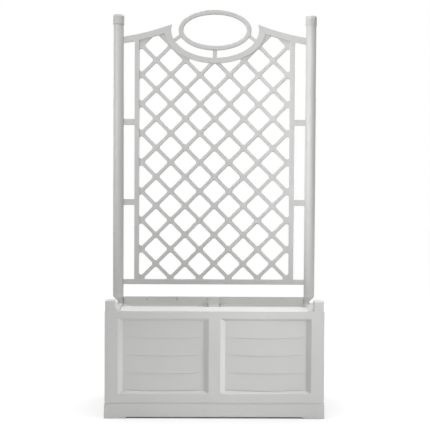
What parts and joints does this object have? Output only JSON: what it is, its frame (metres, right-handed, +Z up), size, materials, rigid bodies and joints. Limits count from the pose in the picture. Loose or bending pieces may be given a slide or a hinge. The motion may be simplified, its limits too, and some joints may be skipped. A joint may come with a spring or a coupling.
{
  "type": "planter with trellis",
  "caption": "Floor planter box with panelled walls, lift-out liners and a diagonal lattice trellis with an oval crest between two round posts.",
  "frame": {"origin": "on the floor, under the middle of the box", "axes": "+Z up, +X to the right seen from the front, the front faces -Y and the trellis stands at the back"},
  "size_m": [0.76, 0.38, 1.4537],
  "materials": {
    "wall_plastic": "satin moulded plastic with a fine grain",
    "post_plastic": "smooth extruded plastic, satin",
    "shoe_plastic": "satin moulded plastic with a fine grain",
    "cap_plastic": "satin moulded plastic with a fine grain",
    "trellis_plastic": "satin moulded plastic with a fine grain",
    "liner_plastic": "satin moulded plastic with a fine grain",
    "floor_plastic": "satin moulded plastic with a fine grain",
    "screw_steel": "zinc plated steel"
  },
  "bodies": {
    "root": {"front_panel": "wall_plastic", "back_panel": "wall_plastic", "left_side_panel": "wall_plastic", "right_side_panel": "wall_plastic", "corner_screws": "screw_steel", "front_left_finial": "wall_plastic", "front_right_finial": "wall_plastic", "floor_panel": "floor_plastic", "cross_brace": "floor_plastic", "left_post_shoe": "shoe_plastic", "right_post_shoe": "shoe_plastic", "post_screws": "screw_steel", "left_lower_tube": "post_plastic", "right_lower_tube": "post_plastic", "left_coupler": "floor_plastic", "right_coupler": "floor_plastic", "left_upper_tube": "post_plastic", "right_upper_tube": "post_plastic", "left_post_cap": "cap_plastic", "right_post_cap": "cap_plastic", "trellis_panel": "trellis_plastic", "oval_crest": "trellis_plastic", "left_lower_clip": "trellis_plastic", "right_lower_clip": "trellis_plastic", "left_upper_clip": "trellis_plastic", "right_upper_clip": "trellis_plastic", "trellis_screws": "screw_steel"},
    "left_liner": {"left_tub": "liner_plastic"},
    "right_liner": {"right_tub": "liner_plastic"}
  },
  "joints": [
    {"name": "left_liner_lift", "type": "slide", "parent": "root", "child": "left_liner", "axis": [0, 0, 1], "range_m": [0, 0.35]},
    {"name": "right_liner_lift", "type": "slide", "parent": "root", "child": "right_liner", "axis": [0, 0, 1], "range_m": [0, 0.35]}
  ]
}
